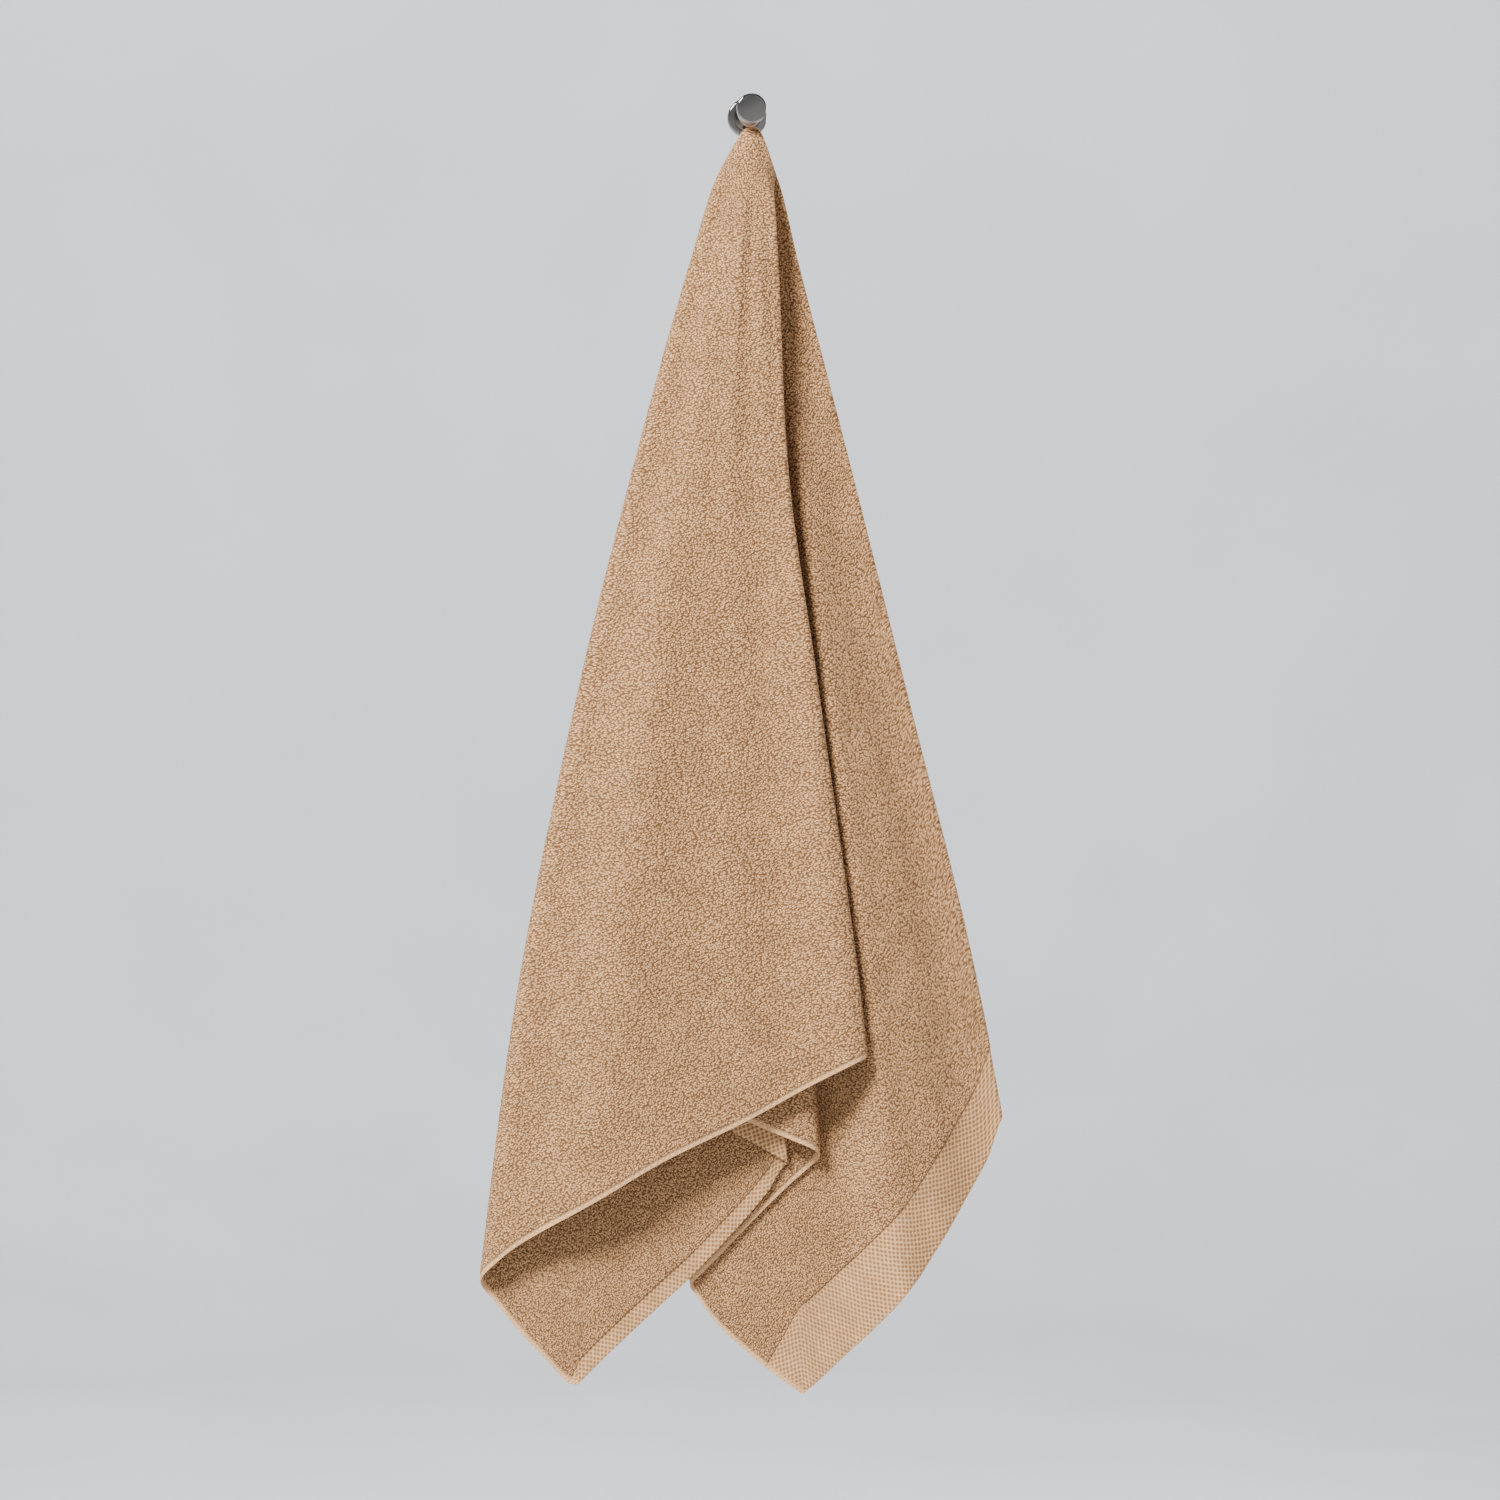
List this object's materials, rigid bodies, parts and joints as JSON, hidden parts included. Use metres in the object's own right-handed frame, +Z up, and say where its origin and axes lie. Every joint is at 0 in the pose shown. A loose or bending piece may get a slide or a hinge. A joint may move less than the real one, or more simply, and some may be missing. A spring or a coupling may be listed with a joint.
{
  "type": "bath towel on hook",
  "caption": "Terry bath towel hung by a loop at the middle of one long side from a round wall hook, falling in a fan of folds to its hemmed corners.",
  "frame": {"origin": "centre of the wall plate's back face, on the wall", "axes": "+Z up, +Y into the wall, -Y towards the room, +X to the right seen from the room"},
  "size_m": [0.4129, 0.0697, 1.0203],
  "materials": {
    "terry": "looped terry pile with flat woven hems",
    "tape": "flat woven cotton tape",
    "chrome": "polished, bright chamfered rims"
  },
  "bodies": {
    "root": {"towel": "terry", "hanger_loop": "tape", "hook_plate": "chrome", "hook_stem": "chrome", "hook_knob": "chrome"}
  },
  "joints": []
}
